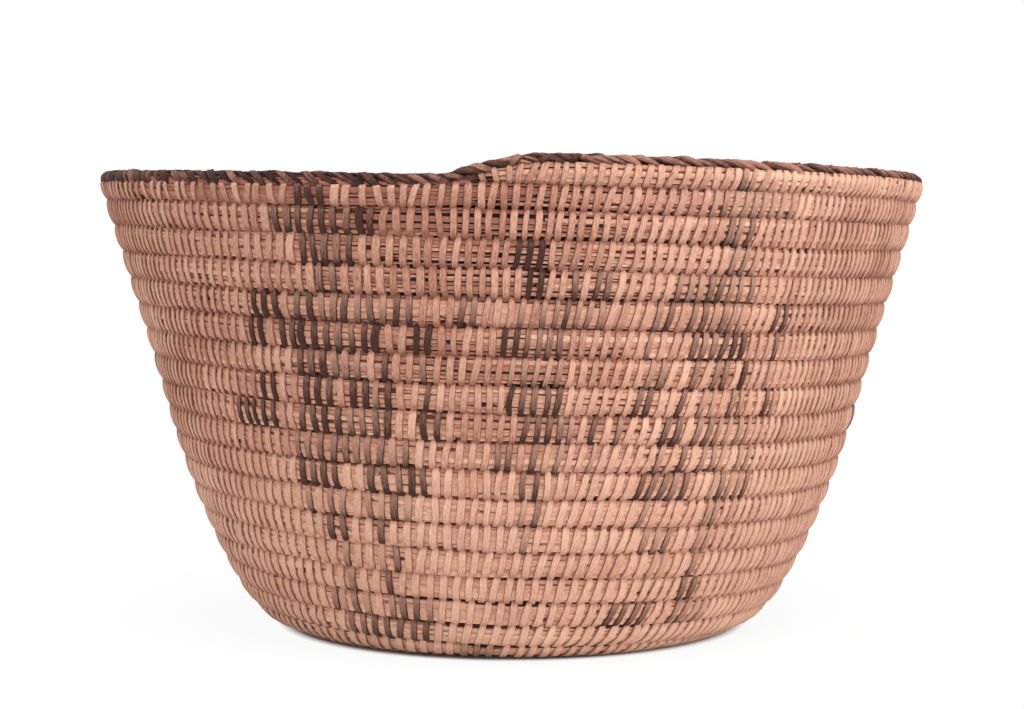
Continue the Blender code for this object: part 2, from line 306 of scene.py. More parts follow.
class Profile:
    """The wall's profile, read by the length along it from the middle of the base."""

    def __init__(self):
        flat_end = np.array([BASE_FLAT_RADIUS, HALF_BUNDLE]), np.array([1.0, 0.0])
        turn_up = station(TURN_UP_RADIUS, TURN_UP_HEIGHT, TURN_UP_LEAN)
        waist = station(WAIST_RADIUS, WAIST_HEIGHT, WAIST_LEAN)
        rim = station(RIM_RADIUS, COIL_HEIGHT, RIM_LEAN)
        flat = np.linspace([0.0, HALF_BUNDLE], flat_end[0], PROFILE_STEPS)
        past_rim = rim[0] + (BRAID_HEIGHT + COIL_SLANT + BUNDLE_THICKNESS) * rim[1]
        line = np.vstack([flat, bend(flat_end, turn_up), bend(turn_up, waist), bend(waist, rim), past_rim])
        steps = np.linalg.norm(np.diff(line, axis=0), axis=1)
        self.lengths = np.concatenate([[0.0], np.cumsum(steps)])
        self.total = self.lengths[-2]
        self.line = line
        tangent = np.gradient(line, self.lengths, axis=0)
        self.tangent = tangent / np.linalg.norm(tangent, axis=1)[:, None]

    def place(self, angle, along, out):
        """The places at angles, lengths along the slanted profile and distances out from its middle."""
        slant = COIL_SLANT * np.minimum(along / BASE_FLAT_RADIUS, 1.0)
        along = along - slant * np.sin(angle)
        radius, height = (np.interp(along, self.lengths, column) for column in self.line.T)
        run, rise = (np.interp(along, self.lengths, column) for column in self.tangent.T)
        radius = radius + out * rise
        height = height - out * run
        return np.stack([radius * np.sin(angle), -radius * np.cos(angle), height], axis=-1)

    def radius(self, along):
        """The radius of the middle line at a length along it."""
        return np.interp(along, self.lengths, self.line[:, 0])


PROFILE = Profile()


def turns_of_full_pitch(turns_left):
    """How many turns of full height the last turns amount to. They get lower towards the bundle's end."""
    share = np.clip(turns_left / THINNING_TURNS, 0.0, 1.0)
    eased = THINNING_TURNS * (share ** 3 - share ** 4 / 2.0)
    eased = eased + np.maximum(turns_left - THINNING_TURNS, 0.0)
    return LAST_PITCH_SHARE * turns_left + (1.0 - LAST_PITCH_SHARE) * eased


WALL_LENGTH = PROFILE.total - BASE_FLAT_RADIUS - FIRST_TURN_REACH
COURSE_PITCH = WALL_LENGTH / turns_of_full_pitch(WALL_TURNS)
HALF_COURSE = COURSE_PITCH / 2.0


def wander(turns):
    """The small rises and falls of the bundle's upper edge, as the stems get thicker and thinner."""
    waves = np.sin(31.3 * turns + 1.0) + 0.8 * np.sin(53.1 * turns + 2.1) + 0.6 * np.sin(17.7 * turns)
    return WANDER * waves * ramp(turns, 1.2, 2.0) * ramp(turns, WALL_TURNS - 0.5, WALL_TURNS - 1.5)


def top_of_coil(turns_left):
    """How far along the profile the bundle's upper edge is, a number of turns before its end."""
    return PROFILE.total - COURSE_PITCH * turns_of_full_pitch(turns_left) + wander(turns_left)


def coil_angle(turns_left):
    """Where round the bowl the bundle is, a number of turns before its end."""
    return COIL_END_ANGLE + FULL_TURN * turns_left


def front_degrees(turns):
    """Where round the bowl the bundle is there, in degrees from the middle of the front."""
    return np.degrees((coil_angle(turns) + math.pi) % FULL_TURN - math.pi)


def coil_circumference(turns_left):
    """The length of one turn of the coil there."""
    return FULL_TURN * np.maximum(PROFILE.radius(top_of_coil(turns_left) - HALF_COURSE), LEAST_RADIUS)


def upper_edge(turns_left):
    """The bundle's upper edge, which comes down to the course below along the thinned end."""
    left = 1.0 - np.clip((turns_left / TIP_TURNS * TIP_PARTS + 1.0) / (TIP_PARTS + 1.0), 0.0, 1.0)
    climbed = 1.0 - left ** TIP_CLIMB
    low = top_of_coil(turns_left + 1.0)
    return low + (top_of_coil(np.maximum(turns_left, 0.0)) - low) * climbed


def on_coil(turns_left, aside, out, rise):
    """Places on the coil: aside along it, out from its middle, and rise as a share of its half-height."""
    turns = turns_left + aside / coil_circumference(turns_left)
    upper = upper_edge(turns)
    lower = np.maximum(top_of_coil(turns + 1.0), KNOT_RADIUS)
    along = (upper + lower) / 2.0 + rise * np.maximum(upper - lower, LEAST_COURSE) / 2.0
    thinned = TIP_THICKNESS_SHARE + (1.0 - TIP_THICKNESS_SHARE) * np.clip(turns / TIP_TURNS, 0.0, 1.0)
    return PROFILE.place(coil_angle(turns), along, out * thinned)


def on_rim(turns_left, aside, out, rise):
    """Places on the plaited edge: aside along it, out from its middle, and rise above its seat."""
    turns = turns_left + aside / (FULL_TURN * RIM_RADIUS)
    turns = turns - np.floor(turns + 0.5)
    turns = np.where(turns < -CLIMB_TURNS, turns + 1.0, turns)
    return PROFILE.place(coil_angle(turns), upper_edge(turns) + rise, out)


def dye_of(turns_left):
    """How dark the stitch at this place on the coil is dyed: 0 for a light one."""
    for shift in PATTERN_REPEATS:
        row = math.floor(turns_left - shift + 0.5)
        degrees = (turns_left - shift - row) * 360.0 + math.degrees(COIL_END_ANGLE)
        for first, last, dye in DARK_RUNS.get(row, ()):
            if first - RUN_MARGIN_DEGREES <= degrees <= last + RUN_MARGIN_DEGREES:
                return dye
    return 0.0


class Wire:
    """One output of a node, which can be used in sums."""

    def __init__(self, finish, socket):
        self.finish = finish
        self.socket = socket

    def sum_with(self, operation, first, second):
        """A Math node on two values, either of which may be a plain number."""
        return self.finish.node("ShaderNodeMath", {"operation": operation}, {0: first, 1: second})

    def __add__(self, other):
        return self.sum_with("ADD", self, other)

    def __sub__(self, other):
        return self.sum_with("SUBTRACT", self, other)

    def __mul__(self, other):
        return self.sum_with("MULTIPLY", self, other)

    def __rsub__(self, other):
        return self.sum_with("SUBTRACT", other, self)

    __radd__ = __add__
    __rmul__ = __mul__


class Finish:
    """The finish of a surface, or the light all round, put together node by node."""

    def __init__(self, owner):
        owner.use_nodes = True
        self.owner = owner
        self.tree = owner.node_tree
        self.tree.nodes.clear()

    def node(self, kind, settings=None, sockets=None, output=0):
        """Adds a node: its settings first, then the values or wires of its sockets."""
        node = self.tree.nodes.new(kind)
        for name, value in (settings or {}).items():
            setattr(node, name, value)
        for name, value in (sockets or {}).items():
            if isinstance(value, Wire):
                self.tree.links.new(value.socket, node.inputs[name])
            else:
                node.inputs[name].default_value = value
        return Wire(self, node.outputs[output])

    def mix(self, share, first, second):
        """One colour fading into another. A Mix node takes colours at sockets 6 and 7 and gives one at 2."""
        first, second = (colour if isinstance(colour, Wire) else (*colour, 1.0) for colour in (first, second))
        return self.node("ShaderNodeMix", {"data_type": "RGBA"}, {0: share, 6: first, 7: second}, 2)

    def stretched(self, vector, scale):
        """Coordinates stretched differently along each axis."""
        return self.node("ShaderNodeMapping", {}, {"Vector": vector, "Scale": scale})

    def noise(self, vector, scale, detail=2.0):
        """Noise around one half."""
        return self.node("ShaderNodeTexNoise", {}, {"Vector": vector, "Scale": scale, "Detail": detail})

    def where(self):
        """The place on the object, in metres."""
        return self.node("ShaderNodeTexCoord", output="Object")

    def reading(self, name):
        """A number that was written on the piece's corners."""
        return self.node("ShaderNodeAttribute", {"attribute_name": name}, output="Fac")

    def spread(self, value, low, high):
        """Spreads the range from low to high over 0 to 1."""
        return self.node("ShaderNodeMapRange", {}, {"Value": value, "From Min": low, "From Max": high})

    def seen_directly(self):
        """1 where the camera, a reflection or a see-through surface looks, and 0 for other light."""
        camera, glossy, through = (self.node("ShaderNodeLightPath", output=ray)
                                   for ray in ("Is Camera Ray", "Is Glossy Ray", "Is Transmission Ray"))
        return self.node("ShaderNodeClamp", {}, {"Value": camera + glossy + through})

    def end(self, shader, kind="ShaderNodeOutputMaterial"):
        """Links the finished shader to the output, a material's or the world's."""
        output = self.tree.nodes.new(kind)
        self.tree.links.new(shader.socket, output.inputs["Surface"])


def splint_finish(name, deep, middle, pale, streak_depth, roughness=0.65, fineness=STREAK_FINENESS):
    """Split plant fibre: its shade from splint to splint, fine streaks along it and slow blotches."""
    deep, middle, pale = (linear(*colour) for colour in (deep, middle, pale))
    finish = Finish(bpy.data.materials.new(name))
    fibre = finish.node("ShaderNodeUVMap", {"uv_map": "fibre"})
    streaks = finish.noise(finish.stretched(fibre, (1.0, 0.09, 1.0)), fineness, 3.0)
    specks = finish.noise(finish.stretched(fibre, (1.0, 0.45, 1.0)), SPECK_FINENESS)
    blotches = finish.noise(finish.where(), BLOTCH_FINENESS)
    tone = finish.reading("shade") + (streaks - 0.5) * streak_depth
    tone = tone + (specks - 0.5) * 0.75 + (blotches - 0.5) * 0.45
    below = finish.spread(tone, 0.0, 0.5)
    above = finish.spread(tone, 0.5, 1.0)
    colour = finish.mix(above, finish.mix(below, deep, middle), pale)
    relief = {"Height": streaks + specks * 0.6, "Strength": 1.0, "Distance": FIBRE_RELIEF}
    finish.end(finish.node("ShaderNodeBsdfPrincipled", {}, {
        "Base Color": colour, "Roughness": (streaks - 0.5) * 0.25 + roughness,
        "Normal": finish.node("ShaderNodeBump", {}, relief), "Specular IOR Level": FIBRE_GLOSS}))
    return finish.owner


def linear(red, green, blue):
    """A colour as a screen shows it, from 0 to 255, turned to the linear one that the shader takes."""
    shares = [channel / 255.0 for channel in (red, green, blue)]
    return tuple(c / 12.92 if c <= 0.04045 else ((c + 0.055) / 1.055) ** 2.4 for c in shares)


class Pattern:
    """A small shape that was modelled once: its corners and faces, read for copying.

    The faces are sorted by their corners, because an extrude gives them in another order each time.
    """

    def __init__(self, piece):
        mesh = piece.data
        self.corners = np.array([vertex.co[:] for vertex in mesh.vertices])
        faces = sorted((list(face.vertices) for face in mesh.polygons), key=sorted)
        self.loops = np.concatenate(faces)
        self.starts = np.cumsum([0] + [len(face) for face in faces[:-1]])
        bpy.data.objects.remove(piece)


class Batch:
    """Copies of one pattern: where each corner lies, its place along the fibre, its shade, and the finish."""

    def __init__(self, pattern, places, fibre, shade, finish=0):
        self.pattern = pattern
        self.places = places
        self.fibre = np.broadcast_to(fibre, (*places.shape[:2], 2))
        self.shade = np.broadcast_to(shade, places.shape[:2])
        self.finish = finish


def sewn_piece(name, batches, finishes, nodes, smooth_angle=50.0):
    """Makes one piece of batches of copies. It stands for CAD nodes, which it hides, and takes the given
    finishes.
    """
    corners, loops, starts, fibre, shade, finish_of = [], [], [], [], [], []
    corner_count = loop_count = 0
    for batch in batches:
        copies, size = batch.places.shape[:2]
        own_loops = batch.pattern.loops + size * np.arange(copies)[:, None] + corner_count
        own_starts = batch.pattern.starts + len(batch.pattern.loops) * np.arange(copies)[:, None] + loop_count
        corners.append(batch.places.reshape(-1, 3))
        loops.append(own_loops.ravel())
        starts.append(own_starts.ravel())
        fibre.append(batch.fibre.reshape(-1, 2))
        shade.append(batch.shade.ravel())
        finish_of.append(np.repeat(np.broadcast_to(batch.finish, copies), own_starts.shape[1]))
        corner_count += copies * size
        loop_count += own_loops.size
    corners, loops, starts, fibre, shade, finish_of = (
        np.concatenate(rows) for rows in (corners, loops, starts, fibre, shade, finish_of))
    mesh = bpy.data.meshes.new(name)
    mesh.vertices.add(len(corners))
    mesh.vertices.foreach_set("co", corners.astype(np.float32).ravel())
    mesh.loops.add(len(loops))
    mesh.loops.foreach_set("vertex_index", loops.astype(np.int32))
    mesh.polygons.add(len(starts))
    mesh.polygons.foreach_set("loop_start", starts.astype(np.int32))
    mesh.update(calc_edges=True)
    mesh.validate()
    mesh.uv_layers.new(name="fibre").data.foreach_set("uv", fibre[loops].astype(np.float32).ravel())
    mesh.attributes.new("shade", "FLOAT", "POINT").data.foreach_set("value", shade.astype(np.float32))
    for finish in finishes:
        mesh.materials.append(finish)
    mesh.polygons.foreach_set("material_index", finish_of.astype(np.int32))
    mesh.shade_smooth()
    mesh.set_sharp_from_angle(angle=math.radians(smooth_angle))
    piece = bpy.data.objects.new(name, mesh)
    bpy.context.scene.collection.objects.link(piece)
    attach(piece, "root")
    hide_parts(*nodes)


def start_shape():
    """Leaves nothing selected, so that the next primitive is shaped alone."""
    bpy.ops.object.select_all(action="DESELECT")


def cut_up(piece, cuts):
    """Cuts a shape that lies along X into lengths, so that its copies can follow the coil."""
    bpy.ops.object.mode_set(mode="EDIT")
    bpy.ops.mesh.select_mode(type="EDGE")
    bpy.ops.mesh.select_all(action="DESELECT")
    bpy.ops.object.mode_set(mode="OBJECT")
    for edge in piece.data.edges:
        first, second = (piece.data.vertices[index].co for index in edge.vertices)
        edge.select = abs(first.x - second.x) > 0.5
    bpy.ops.object.mode_set(mode="EDIT")
    bpy.ops.mesh.subdivide(number_cuts=cuts)
    bpy.ops.object.mode_set(mode="OBJECT")


def make_wrap_pattern():
    """One sewing splint, wrapped once round the bundle: a band with a slightly narrower outer face."""
    start_shape()
    bpy.ops.mesh.primitive_circle_add(vertices=len(WRAP), radius=HALF_BUNDLE)
    band = bpy.context.object
    seat = HALF_BUNDLE - STITCH_THICKNESS
    for vertex, (out, rise) in zip(band.data.vertices, WRAP):
        vertex.co = (-STITCH_WIDTH / 2.0, -out * seat, rise * HALF_COURSE)
    bpy.ops.object.mode_set(mode="EDIT")
    bpy.ops.mesh.select_all(action="SELECT")
    bpy.ops.mesh.extrude_edges_move(TRANSFORM_OT_translate={"value": (STITCH_WIDTH, 0.0, 0.0)})
    bpy.ops.mesh.select_all(action="SELECT")
    bpy.ops.mesh.normals_make_consistent(inside=False)
    bpy.ops.object.mode_set(mode="OBJECT")
    front = min(band.data.polygons, key=lambda face: face.center.y)
    if front.normal.y > 0.0:
        bpy.ops.object.mode_set(mode="EDIT")
        bpy.ops.mesh.flip_normals()
        bpy.ops.object.mode_set(mode="OBJECT")
    wall = band.modifiers.new("wall", "SOLIDIFY")
    wall.thickness = STITCH_THICKNESS
    wall.offset = 1.0
    bpy.ops.object.modifier_apply(modifier=wall.name)
    pattern = Pattern(band)
    shells = np.hypot(pattern.corners[:, 1], pattern.corners[:, 2]).reshape(2, -1)
    pattern.outer = (shells > shells[::-1]).ravel()
    pattern.corners[pattern.outer, 0] *= OUTER_FACE_SHARE
    return pattern


def make_bar_pattern():
    """One splint of split grass, modelled one unit each way: a bar, worn outside and thinned at its ends."""
    start_shape()
    bpy.ops.mesh.primitive_cube_add(size=1.0)
    bar = bpy.context.object
    cut_up(bar, GRASS_CUTS)
    for vertex in bar.data.vertices:
        if vertex.co.y < 0.0:
            vertex.co.z *= GRASS_OUTER_SHARE
        if abs(vertex.co.x) > 0.49:
            vertex.co.z *= GRASS_END_SHARE
            vertex.co.y = 0.5 + (vertex.co.y - 0.5) * GRASS_END_THICKNESS_SHARE
    return Pattern(bar)


def make_strand_pattern():
    """One strand of the plaited edge: a rounded splint that thins towards both ends."""
    start_shape()
    bpy.ops.mesh.primitive_cylinder_add(vertices=6, radius=0.5, depth=1.0, rotation=(0.0, math.pi / 2.0, 0.0),
                                        end_fill_type="TRIFAN")
    strand = bpy.context.object
    bpy.ops.object.transform_apply(rotation=True)
    cut_up(strand, STRAND_CUTS)
    for vertex in strand.data.vertices:
        arch = math.sqrt(max(1.0 - (2.0 * vertex.co.x) ** 2, 0.0))
        swell = STRAND_END_SHARE + (1.0 - STRAND_END_SHARE) * arch
        vertex.co.y *= swell
        vertex.co.z *= swell
    return Pattern(strand)


WRAP_PATTERN = make_wrap_pattern()
BAR_PATTERN = make_bar_pattern()
STRAND_PATTERN = make_strand_pattern()


class Sweep:
    """The faces of a closed tube through rows of section corners, ready to be one batch."""

    def __init__(self, sections, closed=False):
        rows, points = sections.shape[:2]
        self.corners = sections.reshape(-1, 3)
        reach = rows if closed else rows - 1
        row = np.arange(reach)[:, None]
        point = np.arange(points)[None, :]
        here, beside = row * points, (row + 1) % rows * points
        turned = (point + 1) % points
        quads = np.stack([here + point, beside + point, beside + turned, here + turned], axis=-1)
        self.loops = quads.reshape(-1)
        self.starts = np.arange(quads.size // 4) * 4
        if not closed:
            caps = [np.arange(points), (rows - 1) * points + np.arange(points)[::-1]]
            self.loops = np.concatenate([self.loops, *caps])
            self.starts = np.concatenate([self.starts, [quads.size, quads.size + points]])

    def batch(self, shade):
        """The tube as one batch in the second finish of its piece, the dark one of painted shade."""
        return Batch(self, self.corners[None], np.zeros((1, len(self.corners), 2)), shade, 1)


def own_fibre(count, across, along):
    """Places along the fibre of each copy, shifted by chance, so that no two have the same streaks."""
    own = chance.uniform(0.0, 5.0, (count, 2))
    return np.stack([across + own[:, :1], along + own[:, 1:]], axis=-1)


def bundle_face(rise):
    """How far out the bundle's face is at a rise, as a share of its half-thickness: just under a stitch."""
    outs, rises = np.array(WRAP[:WRAP_FACE_CORNERS]).T
    return np.interp(rise, rises, outs) - 0.03 - 0.03 * ramp(np.abs(rise), 0.6, 1.0)


def ageing_and_floor_light(turns):
    """How much paler or browner the fibre is: browner towards the rim and in slow patches, and paler towards
    the base, which is partly painted light from the floor below.
    """
    around = coil_angle(turns)
    facing = front_degrees(turns)
    handled = 0.20 * bell(facing, -8.0, 30.0) * ramp(turns, 10.0, 4.0)
    stain = 0.28 * bell(facing, 0.0, 9.0) * bell(turns, 9.5, 0.9)
    near_rim = ramp(turns, 4.6, 1.4) * (0.03 + 0.09 * np.cos(around + 0.8))
    # Paler towards the base: partly the fibre's own tone, partly painted light from the floor below.
    low_rows = 0.10 * ramp(turns, 9.0, 16.0) + 0.12 * ramp(turns, 16.0, 17.5)
    waves = 0.04 * np.sin(3.0 * around + 0.6) + 0.04 * np.sin(0.7 * turns + around)
    return waves + low_rows - near_rim - handled - stain


def rim_cream(turns):
    """How much paler the last row is on the right of the front."""
    return 0.45 * bell(front_degrees(turns), 36.0, 15.0) * ramp(turns, 0.5, 0.2)


def looseness(turns):
    """How loosely the stems lie: dark slots show between them in the rows below the rim near the front."""
    facing = front_degrees(turns)
    near_rim = ramp(turns, 5.5, 2.5) * bell(facing, -2.0, 19.0)
    open_rows = 0.5 * ramp(turns, 0.95, 1.05) * ramp(turns, 3.1, 2.7) * bell(facing, -5.0, 12.0)
    near_rim = (near_rim + open_rows) * (1.0 - 0.45 * ramp(facing, 5.0, 14.0))
    middle = 0.24 * bell(facing, -3.0, 26.0) + 0.10 * np.sin(2.3 * turns + 5.0) ** 2
    middle = middle + 0.50 * ramp(turns, 9.6, 8.1) * bell(facing, -3.0, 11.0)
    aside = np.abs(facing + 2.0)
    closed = 0.40 * ramp(aside, 9.0, 25.0) * ramp(aside, 170.0, 110.0)
    return near_rim + middle - closed - 0.75 * ramp(turns, 8.5, 11.5)


def restless(turns):
    """How unevenly the coil is sewn: 1 in its last turn at the rim, 0 before it."""
    return 1.0 - ramp(turns, 0.98, 1.02)


def flanks(turns):
    """1 on both sides of the front, where the stitches are narrower, and 0 in its middle and at the back."""
    aside = np.abs(front_degrees(turns) + 2.0)
    return ramp(aside, 28.0, 42.0) * ramp(aside, 130.0, 100.0)


def slimmer(turns):
    """Where the plaited edge is slimmer: above the coil's end and on the right of the front."""
    facing = front_degrees(turns)
    return ramp(facing, -4.8, -2.6) * ramp(facing, 165.0, 125.0)


def fuller(turns):
    """Where the plaited edge comes down lower over the coil: on the left of the front."""
    facing = front_degrees(turns)
    return ramp(facing, -6.0, -16.0) * ramp(facing, -165.0, -125.0)


def stitch_pitch(turns):
    """How far apart the stitches are: closer in the middle of the front, wider towards the base."""
    facing = front_degrees(turns)
    low = ramp(turns, 9.0, 15.0)
    closer = CLOSER_IN_FRONT * bell(facing, 2.0, 11.0) * (1.0 - low)
    closer = closer + CLOSER_ON_RIGHT * bell(facing, 50.0, 14.0)
    wider = WIDER_ON_LEFT * bell(facing, -24.0, 22.0) + WIDER_LOW_DOWN * low * bell(facing, 0.0, 40.0)
    wider = wider + WIDER_AT_RIM * fuller(turns) * restless(turns)
    return STITCH_PITCH + wider - closer


def stitch_width(turns):
    """How wide the light stitches are: narrower in the middle of the front and on both flanks."""
    middle = bell(front_degrees(turns), 3.0, 19.0) * (1.0 - 0.6 * ramp(turns, 9.0, 14.0))
    upper_rows = 1.0 - 0.8 * ramp(turns, 9.0, 13.0)
    return STITCH_WIDTH - NARROWER_IN_FRONT * middle - NARROWER_ON_FLANKS * flanks(turns) * upper_rows


def stitch_lean(turns):
    """How far the stitches lean: more on the right of the front, and more towards the base."""
    right = bell(front_degrees(turns), 22.0, 15.0)
    right = right * (0.4 + 0.6 * ramp(turns, 3.0, 11.0)) * (1.0 - 0.6 * ramp(turns, 11.0, 14.0))
    low = 0.05 * ramp(turns, 11.0, 15.0) + 0.10 * ramp(turns, 15.6, 17.0)
    return STITCH_LEAN + 0.16 * right + low


def stitch_places():
    """Where each sewing splint is, in turns left, from the thinned end of the coil to the knot."""
    places = []
    turns = FIRST_STITCH_TURNS
    while True:
        upper, lower = upper_edge(turns), max(top_of_coil(turns + 1.0), KNOT_RADIUS)
        if turns > WALL_TURNS and upper - lower < COIL_START_WIDTH:
            return np.array(places)
        places.append(turns)
        spacing = stitch_pitch(turns) * (1.0 + (0.06 + 0.09 * restless(turns)) * chance.standard_normal())
        if turns > WALL_TURNS:
            spacing *= BASE_PITCH_SHARE
        turns += max(spacing, LEAST_PITCH_SHARE * STITCH_PITCH) / coil_circumference(turns)


def wrapped_corners(turns, dark):
    """Where the corners of the sewing splints lie that are wrapped round the bundle at the given places."""
    count = len(turns)
    x, y, z = WRAP_PATTERN.corners.T[:, None]
    rise = z / HALF_COURSE
    width = np.where(dark, DARK_WIDTH_SHARE, 1.0) * stitch_width(turns) / STITCH_WIDTH * varied(count, 0.08)
    lean = (0.045 + 0.07 * restless(turns)) * chance.standard_normal(count) + 0.03 * np.sin(turns * 9.0)
    lean = stitch_lean(turns) + np.clip(lean, -MOST_OWN_LEAN, MOST_OWN_LEAN)
    proud = varied(count, 0.018, 2.0)
    curve = STITCH_CURVE * chance.standard_normal(count)
    foot = (0.16 + 0.16 * flanks(turns))[:, None] * ramp(rise, -0.7, -1.1)
    narrowed = 1.0 - foot - 0.32 * ramp(rise, 0.90, 1.20)
    aside = x * narrowed * width[:, None] + lean[:, None] * z + curve[:, None] * (1.0 - rise ** 2)
    last_turn = np.where(turns < 1.0, 1.0, 0.0)[:, None]
    head = last_turn * ramp(rise, 0.6, 1.0)
    lowered = 1.3 * last_turn * np.maximum(rise - UNDER_EDGE_RISE, 0.0)
    lowered = lowered + 0.32 * fuller(turns)[:, None] * head
    return on_coil(turns[:, None], aside, -y * (proud[:, None] + 0.07 * head), rise - lowered)


def wrap_fibre(count):
    """Places along the fibre of so many wrapped splints."""
    x, y, z = WRAP_PATTERN.corners.T[:, None]
    return own_fibre(count, x, np.arctan2(-y, z) * HALF_BUNDLE)


def stitch_shade(turns, dyes):
    """How pale the corners of the sewing splints are, with painted shade in the creases and on the sides."""
    count = len(turns)
    facing = front_degrees(turns)
    rise = WRAP_PATTERN.corners[None, :, 2] / HALF_COURSE
    dark = dyes > 0.0
    calm = 1.0 - 0.4 * ramp(turns, 8.5, 11.5)
    undyed = 0.53 + calm * (0.075 * chance.standard_normal(count) + 0.05 * np.sin(41.0 * turns))
    faded = 0.16 * ramp(facing, 8.0, 20.0) * ramp(facing, 100.0, 70.0)
    dyed = 1.04 - 0.9 * dyes + faded + 0.12 * chance.standard_normal(count)
    shade = (np.where(dark, dyed, undyed) + ageing_and_floor_light(turns))[:, None]
    # Paler towards the top of the row and darker towards its foot, most on the dyed splints: partly faded
    # dye, partly painted shade.
    shade = shade + np.where(dark, 0.28, 0.05)[:, None] * rise
    # Painted shade where the feet and heads of the splints dive into the creases.
    shade = shade - 0.50 * ramp(rise, -0.6, -1.0) - 0.30 * ramp(rise, 0.9, 1.1)
    # Painted shade on the splints' sides and inner face, a dark line along their edges, less of it on the
    # right flank.
    less_side_shade = ramp(facing, 24.0, 40.0) * ramp(facing, 150.0, 120.0)
    shade = shade - np.where(WRAP_PATTERN.outer, 0.0, 1.0)[None] * (0.75 - 0.40 * less_side_shade)[:, None]
    shade = shade + 0.6 * rim_cream(turns)[:, None] * ramp(rise, -0.1, 0.6)
    return shade + 0.10 * np.where(turns < 1.0, fuller(turns), 0.0)[:, None]


def stitch_batch(turns, dyes):
    """Sewing splints wrapped round the bundle at the given places."""
    places = wrapped_corners(turns, dyes > 0.0)
    fibre = wrap_fibre(len(turns))
    return Batch(WRAP_PATTERN, places, fibre, stitch_shade(turns, dyes))


def grass_bars(side):
    """The splints of one face of the bundle: turns, length, rise, width, shade, side and 1 in the crease."""
    bars = []
    last = STITCHES[-1] - COIL_START_LAP_TURNS
    for row in (*GRASS_ROWS, CREASE_ROW):
        turns = FIRST_GRASS_TURNS
        while turns < last:
            around = coil_circumference(turns)
            length = min(chance.uniform(*GRASS_LENGTH), LONGEST_GRASS_TURNS * around)
            gap = chance.uniform(*GRASS_GAP)
            if row == CREASE_ROW:
                length = length / 2.0
                closed = 0.2 - 0.17 * ramp(turns, 9.0, 11.0)
                gap = chance.uniform(*CREASE_GAP) * max(1.0 + 1.3 * looseness(turns), closed)
            elif chance.random() < STEM_END_CHANCE:
                gap += chance.uniform(*STEM_END_GAP)
            share = length / around
            gap = gap / around
            bars.append((turns + share / 2.0, length, row + 0.045 * chance.standard_normal(),
                         chance.uniform(*GRASS_WIDTH), 0.5 + 0.15 * chance.standard_normal(), side,
                         float(row == CREASE_ROW)))
            turns += share + gap
    return bars


def grass_shade(turns, row, own_shade, crease, low_crease):
    """How pale the splints of grass are: cream on the right, red near the end, and painted shade in and
    beside the creases.
    """
    facing = front_degrees(turns)
    own = (own_shade - 0.5) * (1.0 - 0.45 * ramp(turns, 8.5, 11.5))
    cream = 0.34 * ramp(row, 0.2, 0.7) * bell(facing, 30.0, 18.0) * ramp(turns, 10.0, 6.0)
    cream = cream + 1.5 * rim_cream(turns)
    red = 0.40 * ramp(turns, 0.60, 0.75) * ramp(turns, 1.02, 0.98)
    # Darker in rows 1 and 2 in the middle of the front.
    darker_mid_front = 0.62 * bell(facing, -5.0, 11.0) * ramp(turns, 0.9, 1.05) * ramp(turns, 3.0, 2.7)
    # Painted shade on the splints next to the creases.
    shaded = 0.30 * ramp(np.abs(row), 0.65, 0.90)
    on_face = 0.5 + own + ageing_and_floor_light(turns) + cream - red - shaded - darker_mid_front
    # The crease splints are a line of painted shadow: lighter in the middle rows, darker low down.
    lighter_rows = ramp(turns, 8.5, 10.5) * ramp(turns, 15.5, 14.0)
    in_crease = 0.42 + 0.50 * lighter_rows - 0.30 * low_crease + 1.2 * own
    return np.where(crease > 0.0, in_crease, on_face)


def grass_batch(bars):
    """Splints of split grass laid along the bundle's faces. Those in the creases take the dark finish of
    painted shade.
    """
    turns, length, row, width, own_shade, side, crease = np.array(bars).T
    count = len(bars)
    x, y, z = BAR_PATTERN.corners.T[:, None]
    waves, start = chance.uniform(0.6, 2.6, count)[:, None], chance.random(count)[:, None]
    loose = looseness(turns)
    narrowed = (0.28 + 0.16 * np.clip(loose, 0.0, 1.0)) * loose * (1.0 - 0.5 * row)
    # Low down the crease splints make a narrower, prouder and darker line of painted shadow.
    low_crease = crease * ramp(turns, 14.3, 15.1)
    width = (width * np.maximum(1.0 - narrowed, 0.42) * (1.0 - 0.20 * low_crease))[:, None]
    row = row - CREASE_DROP * low_crease
    rise = row[:, None] + 0.045 * np.sin(FULL_TURN * (x * waves + start)) + z * width / HALF_COURSE
    seat = (HALF_BUNDLE - STITCH_THICKNESS) * bundle_face(row)
    lift = np.clip(GRASS_LIFT * chance.standard_normal(count), *GRASS_LIFT_RANGE)
    lift = lift * (1.0 - low_crease) + GRASS_LIFT_RANGE[1] * low_crease
    tilt = np.clip(0.12 * chance.standard_normal(count), -0.2, 0.2)[:, None] * z * width
    out = side[:, None] * ((seat + lift)[:, None] + tilt - (y + 0.5) * GRASS_THICKNESS)
    aside = x * (length * side)[:, None]
    places = on_coil(turns[:, None], aside, out, rise)
    fibre = own_fibre(count, z * width, aside)
    shade = grass_shade(turns, row, own_shade, crease, low_crease)
    return Batch(BAR_PATTERN, places, fibre, shade[:, None], crease.astype(int))


def core_batch(first, last, steps):
    """The inside of the bundle, seen between its splints, in painted shade that is darker where they lie
    looser.
    """
    turns = np.linspace(first, last, steps + 1)[:, None]
    out, rise = np.array(CORE).T[:, None]
    shade = np.repeat(0.80 - 0.60 * np.clip(looseness(turns), 0.0, 1.2), len(CORE), axis=1)
    return Sweep(on_coil(turns, 0.0, out * HALF_BUNDLE, rise)).batch(shade.reshape(1, -1))


